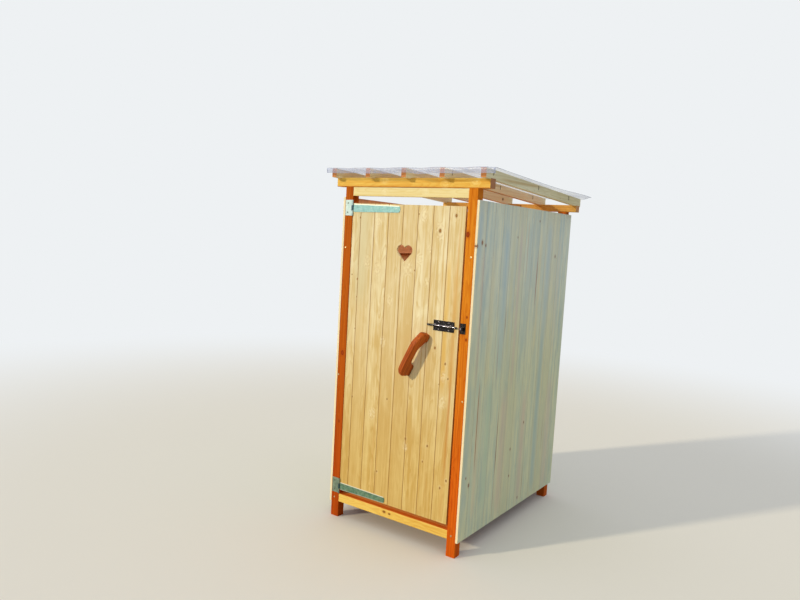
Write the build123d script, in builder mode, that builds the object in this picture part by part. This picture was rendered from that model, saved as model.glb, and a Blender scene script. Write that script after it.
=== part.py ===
# A small free-standing wooden outhouse: four posts, vertical profile boards, a boarded door on
# two long strap hinges, a barrel bolt, a sawn wooden handle and a clear roof sheet on rafters.
# Millimetres, +Z up, X to the visitor's right, the door faces -Y. All pieces are drawn about the
# door's middle, and saved with the origin on the ground in the middle of the roof sheet's outline.

import os
from math import asin, atan2, cos, hypot, radians, sin, sqrt, tan

from build123d import *

os.makedirs("parts", exist_ok=True)

# Driving dimensions of the frame
post = 60.0
opening_width = 834.0
cabin_depth = 1362.0
front_post_height = 2160.0
ground_gap = 95.0
batten = 34.0
batten_height = 54.0
front_purlin_height = 56.0
rear_purlin_height = 48.0
purlin_length = 1100.0
shadow_gap = 2.0
middle_rail_drop = 266.0
beam_chamfer = 2.0
rail_chamfer = 1.0

# Roof
roof_pitch = 2.95
rafter_count = 5
rafter_overhang = 55.0
rafter_seat = 4.0
sheet_thickness = 3.0
sheet_side_overhang = 45.0
sheet_shift = 25.0
sheet_front_overhang = 30.0
sheet_back_overhang = 25.0
sheet_lip = 38.0
sheet_bend_radius = 14.0

# Cladding and floor
board_thickness = 14.0
board_cover = 108.0
groove_width = 4.0
side_first_board = 98.0
wall_top_drop = 65.0
wall_back_drop = 14.0
rail_drop = 18.0
sill_bottom = 103.0
floor_board_width = 108.0
floor_board_gap = 4.0
floor_board_thickness = 22.0
floor_notch_play = 0.5

# Door
door_hinge_gap = 5.0
door_latch_gap = 8.0
door_bottom_gap = 31.0
door_top_gap = 47.0
door_first_board = 65.0
smallest_board = 2.0
tongue = 5.0
tongue_thickness = 4.0
tongue_play = 0.4
ledge_height = 90.0
ledge_thickness = 20.0
ledge_margin = 12.0
ledge_inset = 26.0
ledge_chamfer = 3.0
heart_width = 114.0
heart_height = 103.0
heart_lobe_radius = 31.0
heart_tip_height = 1713.0
heart_crown_angle = 30.0

# Strap hinges
plate_width = 57.0
plate_height = 98.0
hinge_steel = 3.0
strap_length = 366.0
strap_root_height = 50.0
strap_tip_height = 40.0
barrel_radius = 5.5
pin_radius = 3.0
pin_play = 0.05
knuckle_play = 0.5
upper_hinge_drop = 29.0
lower_hinge_rise = 24.0
screw_hole_radius = 2.5
screw_hole_spacing = 58.0
screw_hole_inset = 19.0
strap_tip_radius = 14.0

# Barrel bolt
bolt_height = 1361.0
bolt_plate_length = 140.0
bolt_plate_height = 62.0
bolt_plate_inset = 31.0
bolt_steel = 3.0
rod_radius = 6.0
rod_length = 202.0
rod_retract = 9.0
rod_play = 0.3
rod_chamfer = 1.5
guide_width = 18.0
guide_wall = 3.0
guide_inset = 9.0
knob_radius = 4.0
knob_length = 14.0
knob_place = 59.0
keeper_width = 36.0
keeper_clear = 2.0

# Handle
handle_top_x = 203.0
handle_top_z = 1305.0
handle_tilt = 26.0
handle_lean = 13.0
handle_length = 302.0
handle_rise = 87.0
handle_width = 42.0
handle_grip = 40.0
handle_upper_foot = 50.0
handle_lower_foot = 66.0
handle_shoulder = 52.0
handle_slope = 72.0
handle_flare = 20.0
handle_foot_step = 6.0
handle_outer_knee = 28.0
handle_inner_knee = 20.0
handle_edge_radius = 12.0

# Places worked out from the sizes above
pitch = radians(roof_pitch)
cabin_width = opening_width + 2 * post
wall_x = cabin_width / 2
rafter_back_overhang = board_thickness
sheet_front = rafter_overhang + sheet_front_overhang + sheet_thickness
sheet_back = cabin_depth + rafter_back_overhang + sheet_back_overhang
front_y = -(sheet_back - sheet_front) / 2
back_y = front_y + cabin_depth
post_x = wall_x - post / 2
front_post_y = front_y + post / 2
back_post_y = back_y - post / 2
front_purlin_top = front_post_height + front_purlin_height
rear_purlin_top = front_purlin_top - tan(pitch) * (cabin_depth - post)
back_post_height = rear_purlin_top - rear_purlin_height
wall_top_front = front_post_height - wall_top_drop
wall_top_back = wall_top_front - wall_back_drop
top_rail_bottom = wall_top_back - rail_drop - batten_height
middle_rail_bottom = top_rail_bottom - middle_rail_drop
sill_top = sill_bottom + batten_height
head_rail_top = front_post_height - shadow_gap
head_rail_bottom = head_rail_top - batten_height
floor_top = sill_top + floor_board_thickness
door_left = -opening_width / 2 + door_hinge_gap
door_right = opening_width / 2 - door_latch_gap
door_bottom = sill_top + door_bottom_gap
door_top = head_rail_bottom - door_top_gap
door_back_y = front_y + board_thickness


def save(builder, name):
    """Move one finished piece from the door's middle to the sheet's, and write its STEP file."""
    piece = builder.part.moved(Location((-sheet_shift, 0, 0)))
    piece.label = name
    export_step(piece, f"parts/{name}.step")


# Four posts; the back pair is shorter, so that the roof falls to the back
post_rows = {"front": (front_post_y, front_post_height), "back": (back_post_y, back_post_height)}
for row, (y, height) in post_rows.items():
    for side, sign in (("left", -1), ("right", 1)):
        with BuildPart() as post_part:
            with BuildSketch(Plane.XY):
                with Locations((sign * post_x, y)):
                    Rectangle(post, post)
            extrude(amount=height)
            chamfer(post_part.edges().filter_by(Axis.Z), length=beam_chamfer)
        save(post_part, f"post_{row}_{side}")

# Two purlins lie on the posts and reach past them on both sides
purlin_rows = {
    "front_purlin": (front_post_y, front_post_height, front_purlin_height),
    "rear_purlin": (back_post_y, back_post_height, rear_purlin_height),
}
for name, (y, bottom, height) in purlin_rows.items():
    with BuildPart() as purlin:
        with BuildSketch(Plane.XY.offset(bottom)):
            with Locations((0, y)):
                Rectangle(purlin_length, post)
        extrude(amount=height)
        chamfer(purlin.edges().filter_by(Axis.X), length=beam_chamfer)
    save(purlin, name)

# Head rail and sill between the front posts, a shadow gap behind the posts' faces
for name, bottom in (("head_rail", head_rail_bottom), ("sill", sill_bottom)):
    with BuildPart() as rail:
        with BuildSketch(Plane.XY.offset(bottom)):
            with Locations((0, front_y + shadow_gap + batten / 2)):
                Rectangle(opening_width, batten)
        extrude(amount=batten_height)
        chamfer(rail.edges().filter_by(Axis.X), length=rail_chamfer)
    save(rail, name)

# Side rails between the posts: the bottom one carries the floor, the others hold the cladding
side_rail_length = cabin_depth - 2 * post
rail_levels = {"bottom": sill_bottom, "middle": middle_rail_bottom, "top": top_rail_bottom}
for side, sign in (("left", -1), ("right", 1)):
    for level, bottom in rail_levels.items():
        with BuildPart() as rail:
            with BuildSketch(Plane.XY.offset(bottom)):
                with Locations((sign * (wall_x - batten / 2), front_y + cabin_depth / 2)):
                    Rectangle(batten, side_rail_length)
            extrude(amount=batten_height)
        save(rail, f"{side}_{level}_rail")

# Back rails between the back posts
for level, bottom in (("bottom", sill_bottom), ("top", top_rail_bottom)):
    with BuildPart() as rail:
        with BuildSketch(Plane.XY.offset(bottom)):
            with Locations((0, back_y - batten / 2)):
                Rectangle(opening_width, batten)
        extrude(amount=batten_height)
    save(rail, f"back_{level}_rail")

# Side walls: profile boards nailed outside the posts, with a v-groove at each seam
wall_run = cabin_depth + board_thickness
seam_count = int((wall_run - side_first_board) / board_cover) + 1
seam_positions = [side_first_board + n * board_cover for n in range(seam_count)]
groove_side = groove_width / sqrt(2)
for side, sign in (("left", -1), ("right", 1)):
    with BuildPart() as wall:
        with BuildSketch(Plane.YZ.offset(sign * wall_x)) as outline:
            with BuildLine():
                Polyline(
                    (front_y, ground_gap),
                    (front_y + wall_run, ground_gap),
                    (front_y + wall_run, wall_top_back),
                    (front_y, wall_top_front),
                    close=True,
                )
            make_face()
        extrude(amount=sign * board_thickness)
        with BuildSketch(Plane.XY.offset(ground_gap)):
            for run in seam_positions:
                with Locations(
                    (sign * wall_x, front_y + run),
                    (sign * (wall_x + board_thickness), front_y + run),
                ):
                    Rectangle(groove_side, groove_side, rotation=45)
        extrude(amount=front_post_height, mode=Mode.SUBTRACT)
    save(wall, f"{side}_wall")

# Back wall: the same boards, between the side walls
back_seam_count = int(cabin_width / board_cover)
back_first_board = (cabin_width - (back_seam_count - 1) * board_cover) / 2
with BuildPart() as back_wall:
    with BuildSketch(Plane.XY.offset(ground_gap)):
        with Locations((0, back_y + board_thickness / 2)):
            Rectangle(cabin_width, board_thickness)
    extrude(amount=wall_top_back - ground_gap)
    with BuildSketch(Plane.XY.offset(ground_gap)):
        for n in range(back_seam_count):
            seam_x = -wall_x + back_first_board + n * board_cover
            with Locations((seam_x, back_y), (seam_x, back_y + board_thickness)):
                Rectangle(groove_side, groove_side, rotation=45)
    extrude(amount=front_post_height, mode=Mode.SUBTRACT)
save(back_wall, "back_wall")

# Floor boards lie across the bottom rails; those at the posts are cut to fit between them
floor_length = cabin_depth - batten - shadow_gap
floor_pitch = floor_board_width + floor_board_gap
floor_count = int((floor_length + floor_board_gap) / floor_pitch)
floor_start = front_y + shadow_gap + batten + (floor_length - floor_count * floor_pitch + floor_board_gap) / 2
floor_notch = post + 2 * floor_notch_play
with BuildPart() as floor:
    with BuildSketch(Plane.XY.offset(sill_top)):
        for n in range(floor_count):
            with Locations((0, floor_start + n * floor_pitch + floor_board_width / 2)):
                Rectangle(cabin_width, floor_board_width)
        with Locations((post_x, front_post_y), (-post_x, front_post_y)):
            Rectangle(floor_notch, floor_notch, mode=Mode.SUBTRACT)
        with Locations((post_x, back_post_y), (-post_x, back_post_y)):
            Rectangle(floor_notch, floor_notch, mode=Mode.SUBTRACT)
    extrude(amount=floor_board_thickness)
save(floor, "floor_boards")

# Rafters on edge, notched over both purlins
rafter_front_y = front_y - rafter_overhang
rafter_back_y = back_y + rafter_back_overhang
rafter_step = (purlin_length - batten) / (rafter_count - 1)
rafter_rise = batten_height / cos(pitch)


def rafter_under(y):
    """Height of the rafters' underside at this depth."""
    return front_purlin_top - rafter_seat - tan(pitch) * (y - front_y)


for n in range(rafter_count):
    rafter_x = -(purlin_length - batten) / 2 + n * rafter_step
    with BuildPart() as rafter:
        with BuildSketch(Plane.YZ.offset(rafter_x)):
            with BuildLine():
                Polyline(
                    (rafter_front_y, rafter_under(rafter_front_y)),
                    (front_y, rafter_under(front_y)),
                    (front_y, front_purlin_top),
                    (front_y + post, front_purlin_top),
                    (front_y + post, rafter_under(front_y + post)),
                    (back_y - post, rafter_under(back_y - post)),
                    (back_y - post, rear_purlin_top),
                    (back_y, rear_purlin_top),
                    (back_y, rafter_under(back_y)),
                    (rafter_back_y, rafter_under(rafter_back_y)),
                    (rafter_back_y, rafter_under(rafter_back_y) + rafter_rise),
                    (rafter_front_y, rafter_under(rafter_front_y) + rafter_rise),
                    close=True,
                )
            make_face()
        extrude(amount=batten / 2, both=True)
    save(rafter, f"rafter_{n + 1}")

# Clear roof sheet on the rafters, its front edge bent down over their ends
sheet_width = purlin_length + 2 * sheet_side_overhang
sheet_front_y = front_y - rafter_overhang - sheet_front_overhang
sheet_back_y = front_y + sheet_back


def sheet_under(y):
    """Height of the sheet's underside at this depth, on the rafters' top edges."""
    return rafter_under(y) + rafter_rise


with BuildPart() as sheet:
    with BuildSketch(Plane.YZ.offset(sheet_shift)):
        with BuildLine():
            line = Polyline(
                (sheet_back_y, sheet_under(sheet_back_y)),
                (sheet_front_y, sheet_under(sheet_front_y)),
                (sheet_front_y, sheet_under(sheet_front_y) - sheet_lip),
            )
            bend = fillet(line.vertices().sort_by(Axis.Z)[-1], radius=sheet_bend_radius)
            offset(amount=sheet_thickness, side=Side.RIGHT)
        make_face()
    extrude(amount=sheet_width / 2, both=True)
save(sheet, "roof_sheet")

# Door boards with tongue and groove, the two in the middle cut by the heart
door_width = door_right - door_left
door_height = door_top - door_bottom
door_seams = [door_left]
while door_right - door_seams[-1] > board_cover + smallest_board:
    door_seams.append(door_left + door_first_board + (len(door_seams) - 1) * board_cover)
door_seams.append(door_right)
groove_depth = groove_width / 2
mid_y = front_y + board_thickness / 2

# The heart: straight sides tangent to two round lobes
lobe_x = heart_width / 2 - heart_lobe_radius
lobe_z = heart_tip_height + heart_height - heart_lobe_radius
lobe_reach = hypot(lobe_x, lobe_z - heart_tip_height)
side_angle = atan2(lobe_x, lobe_z - heart_tip_height) + asin(heart_lobe_radius / lobe_reach)
side_length = sqrt(lobe_reach**2 - heart_lobe_radius**2)
side_x = side_length * sin(side_angle)
side_z = heart_tip_height + side_length * cos(side_angle)
cleft_z = lobe_z + sqrt(heart_lobe_radius**2 - lobe_x**2)
crown_x = lobe_x + heart_lobe_radius * sin(radians(heart_crown_angle))
crown_z = lobe_z + heart_lobe_radius * cos(radians(heart_crown_angle))

for n in range(len(door_seams) - 1):
    left = door_seams[n]
    right = door_seams[n + 1]
    first = n == 0
    last = n == len(door_seams) - 2
    with BuildPart() as board:
        with BuildSketch(Plane.XY.offset(door_bottom)):
            with Locations(((left + right) / 2, mid_y)):
                Rectangle(right - left, board_thickness)
            if not last:
                with Locations((right + tongue / 2, mid_y)):
                    Rectangle(tongue, tongue_thickness)
                with Locations((right, front_y)):
                    Rectangle(groove_side, groove_side, rotation=45, mode=Mode.SUBTRACT)
            if not first:
                with Locations((left + tongue / 2, mid_y)):
                    Rectangle(
                        tongue + 2 * tongue_play, tongue_thickness + 2 * tongue_play, mode=Mode.SUBTRACT
                    )
                with Locations((left, front_y)):
                    Rectangle(groove_side, groove_side, rotation=45, mode=Mode.SUBTRACT)
        extrude(amount=door_height)
        if left < heart_width / 2 and right + tongue > -heart_width / 2:
            with BuildSketch(Plane.XZ.offset(-front_y + groove_width)):
                with BuildLine():
                    Line((0, heart_tip_height), (side_x, side_z))
                    ThreePointArc((side_x, side_z), (crown_x, crown_z), (0, cleft_z))
                    ThreePointArc((0, cleft_z), (-crown_x, crown_z), (-side_x, side_z))
                    Line((-side_x, side_z), (0, heart_tip_height))
                make_face()
            extrude(amount=-board_thickness - 2 * groove_width, mode=Mode.SUBTRACT)
    save(board, f"door_board_{n + 1}")

# Two ledges and a brace on the door's inner face; the brace rises from the hinge side
upper_ledge_bottom = door_top - ledge_margin - ledge_height
lower_ledge_top = door_bottom + ledge_margin + ledge_height
ledge_left = door_left + ledge_inset
ledge_right = door_right - ledge_inset
ledge_levels = {"door_ledge_upper": upper_ledge_bottom, "door_ledge_lower": door_bottom + ledge_margin}
for name, bottom in ledge_levels.items():
    with BuildPart() as ledge:
        with BuildSketch(Plane.XY.offset(bottom)):
            with Locations(((ledge_left + ledge_right) / 2, door_back_y + ledge_thickness / 2)):
                Rectangle(ledge_right - ledge_left, ledge_thickness)
        extrude(amount=ledge_height)
        chamfer(ledge.faces().sort_by(Axis.Y)[-1].edges(), length=ledge_chamfer)
    save(ledge, name)

brace_rise = upper_ledge_bottom - lower_ledge_top
brace_run = ledge_right - ledge_left - 2 * ledge_inset - ledge_height
brace_cut = ledge_height * hypot(brace_run, brace_rise) / brace_rise
brace_left = ledge_left + ledge_inset
with BuildPart() as brace:
    with BuildSketch(Plane.XZ.offset(-door_back_y)):
        with BuildLine():
            Polyline(
                (brace_left, lower_ledge_top),
                (brace_left + brace_cut, lower_ledge_top),
                (brace_left + brace_cut + brace_run, upper_ledge_bottom),
                (brace_left + brace_run, upper_ledge_bottom),
                close=True,
            )
        make_face()
    extrude(amount=-ledge_thickness)
save(brace, "door_brace")

# Strap hinges: a plate with a pin on the post, a long strap on the door
pin_x = (-opening_width / 2 + door_left) / 2
pin_y = front_y - barrel_radius
knuckle_height = plate_height / 3
plate_left = pin_x - plate_width
neck_height = knuckle_height - 2 * knuckle_play
neck_x = pin_x + barrel_radius + knuckle_play
barrel_bore = pin_radius + pin_play
hinge_levels = {"upper": door_top - upper_hinge_drop, "lower": door_bottom + lower_hinge_rise}
for level, hinge_z in hinge_levels.items():
    with BuildPart() as plate:
        with BuildSketch(Plane.XZ.offset(-front_y)):
            with Locations((pin_x - plate_width / 2, hinge_z)):
                Rectangle(plate_width, plate_height)
            with Locations((pin_x, hinge_z)):
                Rectangle(4 * barrel_radius, knuckle_height + 2 * knuckle_play, mode=Mode.SUBTRACT)
            for end in (-1, 1):
                with Locations((plate_left + screw_hole_inset, hinge_z + end * screw_hole_spacing / 2)):
                    Circle(screw_hole_radius, mode=Mode.SUBTRACT)
        extrude(amount=hinge_steel)
        for end in (-1, 1):
            with BuildSketch(Plane.XY.offset(hinge_z + end * plate_height / 2)):
                with Locations((pin_x, pin_y)):
                    Circle(barrel_radius)
            extrude(amount=-end * (knuckle_height - knuckle_play))
        with BuildSketch(Plane.XY.offset(hinge_z - plate_height / 2)):
            with Locations((pin_x, pin_y)):
                Circle(pin_radius)
        extrude(amount=plate_height)
    save(plate, f"hinge_plate_{level}")

    with BuildPart() as strap:
        with BuildSketch(Plane.XZ.offset(-front_y)) as blade:
            with BuildLine():
                Polyline(
                    (pin_x, hinge_z + neck_height / 2),
                    (neck_x, hinge_z + neck_height / 2),
                    (neck_x + barrel_radius, hinge_z + strap_root_height / 2),
                    (pin_x + strap_length, hinge_z + strap_tip_height / 2),
                    (pin_x + strap_length, hinge_z - strap_tip_height / 2),
                    (neck_x + barrel_radius, hinge_z - strap_root_height / 2),
                    (neck_x, hinge_z - neck_height / 2),
                    (pin_x, hinge_z - neck_height / 2),
                    close=True,
                )
            make_face()
            fillet(blade.vertices().group_by(Axis.X)[-1], radius=strap_tip_radius)
        extrude(amount=hinge_steel)
        with BuildSketch(Plane.XY.offset(hinge_z - neck_height / 2)):
            with Locations((pin_x, pin_y)):
                Circle(barrel_radius)
        extrude(amount=neck_height)
        with BuildSketch(Plane.XY.offset(hinge_z - knuckle_height / 2)):
            with Locations((pin_x, pin_y)):
                Circle(barrel_bore)
        extrude(amount=knuckle_height, mode=Mode.SUBTRACT)
    save(strap, f"hinge_strap_{level}")

# Barrel bolt: a plate with two guides on the door, a sliding rod, and a keeper on the post
rod_y = front_y - bolt_steel - rod_radius - rod_play
guide_top = rod_y - rod_radius - rod_play - guide_wall
bolt_right = door_right - bolt_plate_inset
bolt_left = bolt_right - bolt_plate_length
with BuildPart() as bolt_case:
    with BuildSketch(Plane.XZ.offset(-front_y)):
        with Locations(((bolt_left + bolt_right) / 2, bolt_height)):
            Rectangle(bolt_plate_length, bolt_plate_height)
    extrude(amount=bolt_steel)
    for guide_x in (bolt_left + guide_inset, bolt_right - guide_inset - guide_width):
        with BuildSketch(Plane.YZ.offset(guide_x)):
            with Locations((rod_y, bolt_height)):
                Circle(rod_radius + rod_play + guide_wall)
            with Locations(((rod_y + front_y - bolt_steel) / 2, bolt_height)):
                Rectangle(front_y - bolt_steel - rod_y, 2 * (rod_radius + rod_play + guide_wall))
            with Locations((rod_y, bolt_height)):
                Circle(rod_radius + rod_play, mode=Mode.SUBTRACT)
        extrude(amount=guide_width)
save(bolt_case, "bolt_case")

rod_right = door_right - rod_retract
with BuildPart() as bolt_rod:
    with BuildSketch(Plane.YZ.offset(rod_right - rod_length)):
        with Locations((rod_y, bolt_height)):
            Circle(rod_radius)
    extrude(amount=rod_length)
    chamfer(bolt_rod.edges().filter_by(GeomType.CIRCLE), length=rod_chamfer)
    with BuildSketch(Plane.XZ.offset(-rod_y)):
        with Locations((bolt_left + knob_place, bolt_height)):
            Circle(knob_radius)
    extrude(amount=rod_radius + knob_length)
save(bolt_rod, "bolt_rod")

keeper_x = opening_width / 2
keeper_inner = rod_radius + keeper_clear
keeper_outer = keeper_inner + bolt_steel
with BuildPart() as keeper:
    with BuildSketch(Plane.XZ.offset(-front_y)):
        with Locations((keeper_x + keeper_width / 2, bolt_height)):
            Rectangle(keeper_width, bolt_plate_height)
    extrude(amount=bolt_steel)
    with BuildSketch(Plane.YZ.offset(keeper_x + guide_inset)):
        with Locations(((rod_y - keeper_outer + front_y - bolt_steel) / 2, bolt_height)):
            Rectangle(front_y - bolt_steel - rod_y + keeper_outer, 2 * keeper_outer)
        with Locations(((rod_y - keeper_inner + front_y - bolt_steel) / 2, bolt_height)):
            Rectangle(
                front_y - bolt_steel - rod_y + keeper_inner, 2 * keeper_inner, mode=Mode.SUBTRACT
            )
    extrude(amount=guide_width)
save(keeper, "bolt_keeper")

# Handle sawn from thick timber, both feet on the door: it slopes with its foot towards the
# hinges, and leans a little that way too, so that the grip clears the bolt
tilt = radians(handle_tilt)
lean = radians(handle_lean)
handle_along = Vector(-sin(tilt), 0, -cos(tilt))
handle_out = Vector(-cos(tilt) * sin(lean), -cos(lean), sin(tilt) * sin(lean))
handle_plane = Plane(
    origin=(handle_top_x, front_y, handle_top_z), x_dir=handle_along, z_dir=handle_along.cross(handle_out)
)
grip_under = handle_rise - handle_grip
foot_depth = -handle_width / 2
near = handle_foot_step / 10
inner_heel = handle_length - handle_lower_foot


def handle_place(edge):
    """Where an edge's middle lies: along the handle, out from the door, and across."""
    return handle_plane.to_local_coords(edge.center())


with BuildPart() as handle:
    with BuildSketch(handle_plane):
        with BuildLine():
            Polyline(
                (0, foot_depth),
                (0, handle_shoulder),
                (handle_slope, handle_rise),
                (handle_length - handle_flare, handle_rise),
                (handle_length, foot_depth),
                (inner_heel, foot_depth),
                (inner_heel - handle_foot_step, grip_under),
                (handle_slope + handle_grip, grip_under),
                (handle_upper_foot, handle_foot_step),
                (handle_upper_foot, foot_depth),
                close=True,
            )
        make_face()
    extrude(amount=handle_width / 2, both=True)
    corners = handle.edges().filter_by(lambda e: abs(handle_place(e).Z) < near and handle_place(e).Y > 0)
    inner_corners = corners.filter_by(
        lambda e: handle_place(e).X > near and handle_place(e).Y < grip_under + near
    )
    outer_corners = corners.filter_by(lambda e: e not in inner_corners)
    fillet(outer_corners, radius=handle_outer_knee)
    fillet(inner_corners, radius=handle_inner_knee)
    sides = handle.edges().filter_by(lambda e: abs(abs(handle_place(e).Z) - handle_width / 2) < near)
    fillet(sides.filter_by(lambda e: handle_place(e).Y > foot_depth + near), radius=handle_edge_radius)
    split(bisect_by=Plane.XZ.offset(-front_y), keep=Keep.TOP)
save(handle, "door_handle")
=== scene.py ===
# A small wooden outhouse: stained posts, pale profile boards, a heart-cut door on strap hinges,
# a black barrel bolt, a sawn wooden handle and a thin clear sheet over open rafters.

from functools import partial

import bpy
import numpy as np
from mathutils import Euler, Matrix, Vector


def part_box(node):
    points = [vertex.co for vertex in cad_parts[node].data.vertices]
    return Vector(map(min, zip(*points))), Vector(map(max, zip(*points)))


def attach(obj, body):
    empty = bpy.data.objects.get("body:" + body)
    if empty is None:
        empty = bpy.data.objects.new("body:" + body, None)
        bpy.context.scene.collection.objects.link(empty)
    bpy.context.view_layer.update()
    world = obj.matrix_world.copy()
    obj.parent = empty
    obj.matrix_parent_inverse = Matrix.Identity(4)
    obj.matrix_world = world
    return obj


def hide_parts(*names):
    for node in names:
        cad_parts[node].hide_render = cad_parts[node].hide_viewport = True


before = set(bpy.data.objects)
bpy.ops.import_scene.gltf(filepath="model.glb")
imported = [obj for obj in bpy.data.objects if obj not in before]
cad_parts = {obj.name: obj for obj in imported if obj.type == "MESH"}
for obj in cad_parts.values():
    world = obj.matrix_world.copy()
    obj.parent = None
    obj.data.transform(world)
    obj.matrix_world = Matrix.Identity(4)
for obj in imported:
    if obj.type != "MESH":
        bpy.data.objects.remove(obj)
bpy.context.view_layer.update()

# Studio: a pale round floor that fades into the backdrop, a cool even sky and one warm, soft sun
# from the front left, low enough to throw the handle's shadow across the door. The camera looks
# at the cabin from the front right, from a little below the roof's height.
camera_place = (2.3485, -4.0972, 1.8920)
camera_turn = (84.3957, -3.2023, 35.0598)
camera_lens = 31.1688
sun_travel = (0.62, 1.0, -0.45)
sun_width = 3.0
sun_strength = 1.95
sun_colour = "#FFF0CE"
horizon_colour = "#8499B4"
zenith_colour = "#F4F2EC"
backdrop_colour = "#EEF1F3"
floor_colour = "#E6E3DC"
floor_bounce_colour = "#C2BFB6"
room_light_place = (-0.025, 0.03, 2.09)
room_light_size = (0.86, 1.2)
room_light_strength = 3.9
room_light_colour = "#FFF4E4"
floor_rings = np.array([1.0, 2.0, 4.0, 8.0, 16.0, 30.0])
floor_turns = 96
fade_from, fade_to = 2.6, 8.0
# what makes a Mix node mix its inputs 6 and 7 as colours, and a Map Range node start and end softly
IN_COLOUR = {"out": 2, "data_type": "RGBA"}
EASED = {"interpolation_type": "SMOOTHSTEP"}


def linear(code):
    """An sRGB hex colour as linear RGBA: each channel through the sRGB curve, alpha 1."""
    value = np.array([int(code[k : k + 2], 16) for k in (1, 3, 5)]) / 255
    low, high = value / 12.92, ((value + 0.055) / 1.055) ** 2.4
    return (*np.where(value <= 0.04045, low, high).tolist(), 1.0)


def node(tree, kind, inputs=(), out=0, **settings):
    """Add one shader node with its settings and links. The kind may end in an operation. The
    inputs come by name, or as a list in the node's own order; each is another node's output, a
    value or a hex colour."""
    kind, _, operation = kind.partition(" ")
    made = tree.nodes.new("ShaderNode" + kind)
    if operation:
        made.operation = operation
    for name, value in settings.items():
        setattr(made, name, value)
    for key, value in inputs.items() if isinstance(inputs, dict) else enumerate(inputs):
        if isinstance(value, bpy.types.NodeSocket):
            tree.links.new(value, made.inputs[key])
        else:
            made.inputs[key].default_value = linear(value) if isinstance(value, str) else value
    return made if out is None else made.outputs[out]


def material(name):
    """An empty node material of that name, and the function that adds a node to it."""
    made = bpy.data.materials.new(name)
    made.use_nodes = True
    made.node_tree.nodes.clear()
    return made, partial(node, made.node_tree)


def place_in_scene(name, data):
    """A new object of that name with that data, linked to the scene."""
    made = bpy.data.objects.new(name, data)
    bpy.context.scene.collection.objects.link(made)
    return made


camera = place_in_scene("camera", bpy.data.cameras.new("camera"))
camera.data.lens = camera_lens
camera.data.sensor_width = 36.0
camera.location = camera_place
camera.rotation_euler = Euler(np.radians(camera_turn))
bpy.context.scene.camera = camera
bpy.context.scene.view_settings.view_transform = "Standard"

sun = place_in_scene("sun", bpy.data.lights.new("sun", "SUN"))
sun.data.energy = sun_strength
sun.data.angle = np.radians(sun_width)
sun.data.color = linear(sun_colour)[:3]
sun.rotation_euler = Vector(sun_travel).to_track_quat("-Z", "Y").to_euler()

room_light = place_in_scene("light_through_roof", bpy.data.lights.new("light_through_roof", "AREA"))
room_light.data.shape = "RECTANGLE"
room_light.data.size, room_light.data.size_y = room_light_size
room_light.data.energy = room_light_strength
room_light.data.color = linear(room_light_colour)[:3]
room_light.location = room_light_place
room_light.visible_camera = room_light.visible_glossy = False

world = bpy.data.worlds.new("sky")
world.use_nodes = True
world.node_tree.nodes.clear()
bpy.context.scene.world = world
add = partial(node, world.node_tree)
rays = add("LightPath", out=None)
seen = add("Math MAXIMUM", [rays.outputs["Is Camera Ray"], rays.outputs["Is Glossy Ray"]])
seen = add("Math MAXIMUM", [seen, rays.outputs["Is Transmission Ray"]])
aim = add("SeparateXYZ", [add("TexCoord", out="Generated")], out="Z")
dome = add("Mix", {"Factor": aim, 6: horizon_colour, 7: zenith_colour}, clamp_factor=True, **IN_COLOUR)
tone = add("Mix", {"Factor": seen, 6: dome, 7: backdrop_colour}, **IN_COLOUR)
add("OutputWorld", [add("Background", {"Color": tone, "Strength": 1.0})], out=None)

corner = np.arange(floor_turns)
after = (corner + 1) % floor_turns
angle = 2 * np.pi * corner / floor_turns
rings = floor_rings[:, None]
floor_points = np.stack([rings * np.cos(angle), rings * np.sin(angle), 0 * rings * angle], axis=-1)
fan = np.stack([0 * corner, 1 + corner, 1 + after], axis=-1)
start = 1 + floor_turns * np.arange(len(floor_rings) - 1)[:, None]
outward = start + floor_turns
cells = np.stack([start + corner, outward + corner, outward + after, start + after], axis=-1).reshape(-1, 4)
floor_mesh = bpy.data.meshes.new("studio_floor")
floor_mesh.from_pydata([(0, 0, 0), *floor_points.reshape(-1, 3).tolist()], [], fan.tolist() + cells.tolist())
studio_floor = place_in_scene("studio_floor", floor_mesh)
# Matt backdrop paper: an even pale ground without gloss that ends in the backdrop's white.
paper, add = material("studio_paper")
reach = add("VectorMath LENGTH", [add("TexCoord", out="Object")], out="Value")
far = add("MapRange", [reach, fade_from, fade_to], **EASED)
seen = add("LightPath", out="Is Camera Ray")
far = add("Math MULTIPLY", [far, seen])
tone = add("Mix", {"Factor": seen, 6: floor_bounce_colour, 7: floor_colour}, **IN_COLOUR)
matt = add("BsdfPrincipled", {"Base Color": tone, "Roughness": 0.9, "Specular IOR Level": 0.1})
glow = add("Emission", {"Color": backdrop_colour, "Strength": 1.0})
add("OutputMaterial", [add("MixShader", [far, matt, glow])], out=None)
floor_mesh.materials.append(paper)

# Posts: four squared spruce posts, planed and brushed with an orange-brown stain that sinks
# deeper into the soft wood and darker round the knots. They stand on the ground and carry the
# purlins; each is darker and redder towards its foot.
AXES = "xyz"
beam_half = 30.0


def middle_of(name):
    """The middle of a CAD node's box, in metres."""
    low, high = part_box(name)
    return (low + high) / 2


def finish(name, made):
    """Give a CAD node that material in all its slots."""
    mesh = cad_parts[name].data
    mesh.materials.clear()
    mesh.materials.append(made)


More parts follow.
